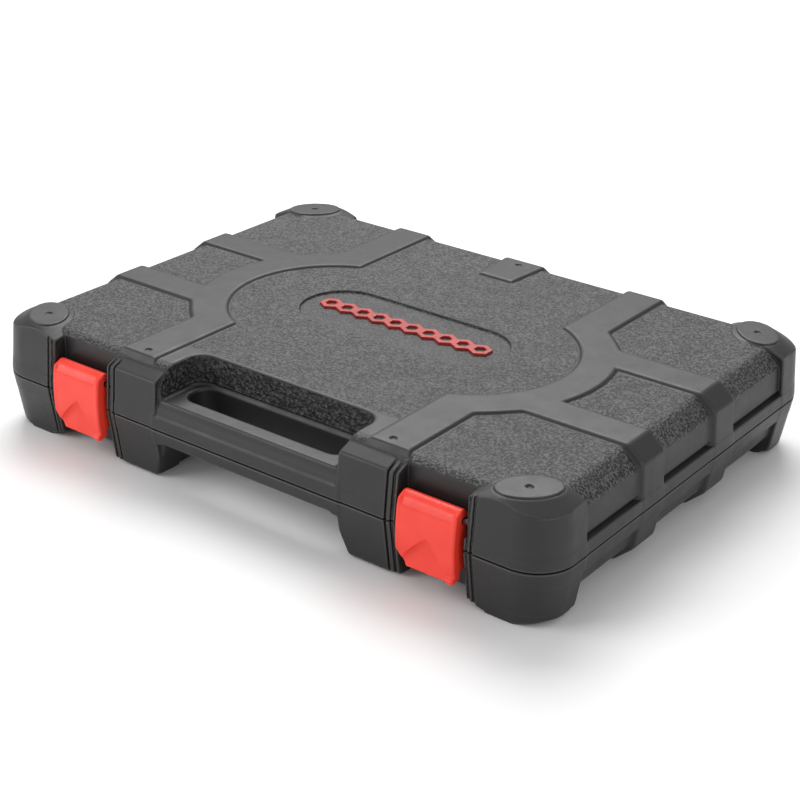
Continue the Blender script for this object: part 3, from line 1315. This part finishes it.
def steel(name, light, dark, polish):
    """Plated or darkened steel: long fine scratches, a little haze and a few darker marks."""
    look = Look(name)
    stretched = look.add("ShaderNodeMapping", Vector=look.place, Scale=(60.0, 900.0, 900.0))
    lines = look.add("ShaderNodeTexNoise", Vector=stretched.outputs[0], Scale=1.0, Detail=3.0)
    marks = look.ramp(look.noise(140, 4.0), 0.52, 0.75, 0.0, 0.45)
    colour = look.mix(look.ramp(look.noise(25, 3.0), 0.3, 0.7), light, dark)
    colour = look.mix(marks, colour, dark)
    roughness = look.ramp(look.noise(60, 4.0), 0.3, 0.7, polish, polish + 0.12)
    roughness = look.math("ADD", roughness, look.math("MULTIPLY", lines.outputs["Fac"], 0.08))
    return look.finish(Base_Color=colour, Roughness=roughness, Metallic=1.0,
                       Normal=look.bump(lines.outputs["Fac"], 0.00004))


def black_rubber():
    """Matt grip rubber, dusty in places."""
    look = Look("black_rubber_look")
    fine = look.noise(1500, 2.0)
    colour = look.mix(look.ramp(look.noise(60, 4.0), 0.4, 0.75), grey(0.012), grey(0.032))
    roughness = look.ramp(look.noise(110, 3.0), 0.3, 0.7, 0.62, 0.80)
    return look.finish(Base_Color=colour, Roughness=roughness, Normal=look.bump(fine, 0.0002))


# ------------------------------------------------------------------ stage, light and camera

CAMERA = SimpleNamespace(lens=76.42, sensor=36.0, azimuth=36.44, elevation=25.52, roll=1.38,
                         target=(63.68, -90.35, 71.0), distance=920.51)
FLOOR_REACH = 4
SKY_STRENGTH = 0.5

# Softboxes: place and target in metres, width in metres, power in watts.
SOFTBOXES = (("overhead", (-0.65, 0.85, 1.4), (0, 0, 0), 1.3, 27),
             ("front_left", (-1.1, -1.3, 0.9), (0, 0, 0.03), 1.0, 12),
             ("right_fill", (1.5, -0.3, 0.8), (0, 0, 0.03), 0.9, 4))


def pale_floor():
    look = Look("floor_look")
    colour = look.mix(look.ramp(look.noise(3, 2.0), 0.3, 0.7), grey(0.93), grey(0.96))
    corners = np.array([[-1, -1, 0], [1, -1, 0], [1, 1, 0], [-1, 1, 0]]) * FLOOR_REACH
    mesh = mesh_from("floor", corners, np.array([[0, 1, 2, 3]]))
    floor = new_object("floor", mesh)
    mesh.materials.append(look.finish(Base_Color=colour, Roughness=0.6))
    floor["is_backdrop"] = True


def soft_light(name, place, target, size, power):
    """A square softbox at a place, aimed at a target, in metres and watts."""
    data = bpy.data.lights.new(name, "AREA")
    data.size = size
    data.energy = power
    light = bpy.data.objects.new(name, data)
    bpy.context.scene.collection.objects.link(light)
    aim = Vector(target) - Vector(place)
    light.location = place
    light.rotation_euler = aim.to_track_quat("-Z", "Y").to_euler()


def studio():
    world = bpy.data.worlds.new("studio")
    bpy.context.scene.world = world
    world.use_nodes = True
    background = world.node_tree.nodes["Background"]
    background.inputs["Color"].default_value = (1, 1, 1, 1)
    background.inputs["Strength"].default_value = SKY_STRENGTH
    for softbox in SOFTBOXES:
        soft_light(*softbox)
    bpy.context.scene.view_settings.view_transform = "Standard"


def camera():
    """The camera that took in the case from above its front right corner."""
    a, e, r = [math.radians(v) for v in (CAMERA.azimuth, CAMERA.elevation, CAMERA.roll)]
    back = Vector((math.sin(a) * math.cos(e), -math.cos(a) * math.cos(e), math.sin(e)))
    right = Vector((math.cos(a), math.sin(a), 0))
    up = back.cross(right)
    right, up = (right * math.cos(r) + up * math.sin(r), up * math.cos(r) - right * math.sin(r))
    data = bpy.data.cameras.new("camera")
    data.lens = CAMERA.lens
    data.sensor_width = CAMERA.sensor
    eye = bpy.data.objects.new("camera", data)
    bpy.context.scene.collection.objects.link(eye)
    place = Vector(CAMERA.target) * MM + back * CAMERA.distance * MM
    turn = Matrix((right, up, back)).transposed().to_4x4()
    eye.matrix_world = Matrix.Translation(place) @ turn
    bpy.context.scene.camera = eye


# ------------------------------------------------------------------ the scene

CASE_XS = steps((0, 54, 1.15), (54, 108, 0.62), (108, 202, 1.1))
CASE_YS = steps((-146, -98, 0.62), (-98, 160, 1.1))
CASE_TRIANGLES = 190000


def casing_piece(name, half, zs, body, looks):
    def field(x, y, z):
        return casing(half, x, y, z)
    piece = field_piece(name, field, CASE_XS, CASE_YS, zs, CASE_TRIANGLES, mirrored=True,
                        masks=casing_masks(half))
    placed(piece, body, "case_plastic", looks)


def around(centre, reach, gap):
    """Grid lines over a range round a centre."""
    return steps((centre - reach, centre + reach, gap))


def latch_piece(side, sign, looks):
    def field(x, y, z):
        return latch(x - sign * LATCH_CENTRE_X, y, z)
    piece = field_piece(f"latch_{side}", field, around(sign * LATCH_CENTRE_X, 20, 0.45),
                        steps((-149.5, -131.5, 0.45)), steps((11.5, 57.5, 0.45)), 40000)
    placed(piece, f"latch_{side}", "red_plastic", looks)


def skin_pieces(looks):
    """The two inner skins and the emblem."""
    xs, ys = steps((0, 196, 0.85)), steps((-141, 146, 0.85))
    whole = np.concatenate([-xs[:0:-1], xs])
    tray = field_piece("tool_tray", tool_tray(tray_wells()), whole, ys, steps((4, 33, 0.85)),
                       180000)
    placed(tray, "base", "tray_plastic", looks)
    liner = field_piece("lid_liner", lid_liner, xs, ys, steps((32.4, 67, 0.85)), 60000,
                        mirrored=True)
    placed(liner, "lid", "tray_plastic", looks)
    emblem = field_piece("emblem", emblem_rings, around(0, 64, 0.4), around(4, 9, 0.4),
                         steps((67, 69.6, 0.2)), 50000)
    placed(emblem, "lid", "red_plastic", looks)
    emblem.data.materials[0] = looks["emblem_red"]


def ratchet_pieces(ratchet, looks):
    """The parts of one ratchet that are shown smoother than in the CAD."""
    x, y, z = ratchet.at
    head, half = ratchet.head, ratchet.half_height
    across = around(y, head + 1.5, 0.55)
    body = field_piece(f"{ratchet.name}_body", ratchet_body(ratchet),
                       steps((x - head - 1.5, x + ratchet.grip_end, 0.55)), across,
                       around(z, half + 1.5, 0.55), 60000)
    placed(body, "base", "chrome_steel", looks)
    selector = field_piece(f"{ratchet.name}_selector", ratchet_selector(ratchet),
                           around(x, head, 0.35), around(y, head * 0.6, 0.35),
                           steps((z + half, z + half + head * 0.3, 0.25)), 20000)
    placed(selector, f"{ratchet.name}_selector", "dark_steel", looks)
    placed(ratchet_cover(ratchet), "base", "chrome_steel", looks)
    placed(ratchet_button(ratchet), f"{ratchet.name}_button", "dark_steel", looks)
    placed(ratchet_grip(ratchet), "base", "black_rubber", looks)


def tool_pieces(looks):
    """Everything that lies in the tray."""
    chrome = [*socket_row(LARGE_ROW), *socket_row(SMALL_ROW), *plug_sockets()]
    chrome += [extension_bar(*bar) for bar in BARS]
    chrome += [driver_shank(), t_handle_bar()]
    for piece in chrome:
        placed(piece, "base", "chrome_steel", looks)
    placed(driver_grip(), "base", "red_plastic", looks)
    for index, key in enumerate(HEX_KEYS):
        placed(hex_key(index, *key), "base", "dark_steel", looks)
    for ratchet in (LARGE_RATCHET, SMALL_RATCHET):
        ratchet_pieces(ratchet, looks)
    slider = field_piece("t_handle_slider", t_handle_slider, around(T_HANDLE.centre, 9.5, 0.4),
                         around(T_HANDLE.y, 7, 0.4), steps((TOOL_Z - 16, TOOL_Z + 7, 0.4)), 20000)
    placed(slider, "t_handle_slider", "chrome_steel", looks)
    rack_ends = (BIT_RACK.left - 1.5, BIT_RACK.left + BIT_RACK.length + 1.5)
    rack = field_piece("bit_rack", bit_rack, steps((*rack_ends, 0.5)), around(BIT_RACK.y, 9, 0.5),
                       steps((BIT_RACK.bottom - 1.5, BIT_RACK.top + 1.5, 0.5)), 40000)
    placed(rack, "base", "black_rubber", looks)


looks = {
    "case_plastic": case_plastic(),
    "tray_plastic": tray_plastic(),
    "red_plastic": red_plastic("red_plastic_look", (1.0, 0.06, 0.035, 1), (0.92, 0.04, 0.02, 1)),
    "emblem_red": red_plastic("emblem_red_look", (0.50, 0.035, 0.025, 1), (0.32, 0.02, 0.015, 1)),
    "black_rubber": black_rubber(),
    "chrome_steel": steel("chrome_steel_look", (0.62, 0.63, 0.65, 1), (0.42, 0.43, 0.45, 1), 0.12),
    "dark_steel": steel("dark_steel_look", (0.17, 0.175, 0.185, 1), (0.08, 0.08, 0.085, 1), 0.26),
}
casing_piece("lid_shell", LID, steps((29.6, 73, 0.8)), "lid", looks)
casing_piece("base_shell", BASE, steps((-2, 40.4, 0.8)), "base", looks)
for side, sign in (("left", -1), ("right", 1)):
    latch_piece(side, sign, looks)
skin_pieces(looks)
tool_pieces(looks)
for node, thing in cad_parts.items():
    if node.endswith(("_pin_left", "_pin_right", "_drive")):
        thing.data.materials.clear()
        thing.data.materials.append(looks["dark_steel"])

pale_floor()
studio()
camera()
sizes = {"cad": CAD_BOUNDS, "visual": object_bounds()}
sizes = {name: [[float(v) for v in corner] for corner in box] for name, box in sizes.items()}
